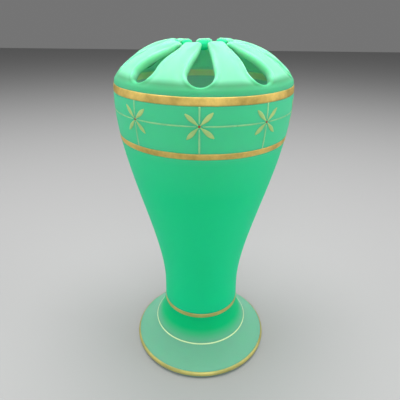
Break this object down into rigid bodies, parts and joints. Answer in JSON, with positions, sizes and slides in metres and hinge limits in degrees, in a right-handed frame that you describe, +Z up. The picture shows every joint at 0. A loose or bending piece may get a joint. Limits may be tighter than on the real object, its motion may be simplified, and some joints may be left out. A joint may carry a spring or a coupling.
{
  "type": "flower frog vase",
  "caption": "Footed satin glass vase with gilt bands and its rim folded in as petals, so that flower stems stand in the slots between them.",
  "frame": {"origin": "on the surface the foot stands on, at the axis of the vase", "axes": "+Z up along the axis of the vase; -Y faces the viewer, with the first slot and flower two degrees to the left of it; +X to the viewer's right"},
  "size_m": [0.1188, 0.1189, 0.2435],
  "materials": {
    "satin_glass": "acid-etched satin, emerald green, hardly see-through",
    "foot_glass": "acid-etched satin, emerald green, paler on the brim",
    "gilding": "soft fired gold with light brush marks and wear",
    "pale_gilding": "thin hand-painted gold, faded so that the green shows through",
    "cream_enamel": "fine hand-drawn enamel line",
    "russet_enamel": "small raised dot of enamel"
  },
  "bodies": {
    "root": {"bowl": "satin_glass", "foot": "foot_glass", "petal_1": "satin_glass", "petal_2": "satin_glass", "petal_3": "satin_glass", "petal_4": "satin_glass", "petal_5": "satin_glass", "petal_6": "satin_glass", "petal_7": "satin_glass", "petal_8": "satin_glass", "petal_9": "satin_glass", "upper_band": "gilding", "lower_band": "gilding", "joint_ring": "gilding", "edge_gilding": "gilding", "foot_line": "cream_enamel", "girdle_line": "pale_gilding", "upright_lines": "pale_gilding", "flower_dots": "russet_enamel", "flower_1": "pale_gilding", "flower_2": "pale_gilding", "flower_3": "pale_gilding", "flower_4": "pale_gilding", "flower_5": "pale_gilding", "flower_6": "pale_gilding", "flower_7": "pale_gilding", "flower_8": "pale_gilding", "flower_9": "pale_gilding"}
  },
  "joints": []
}
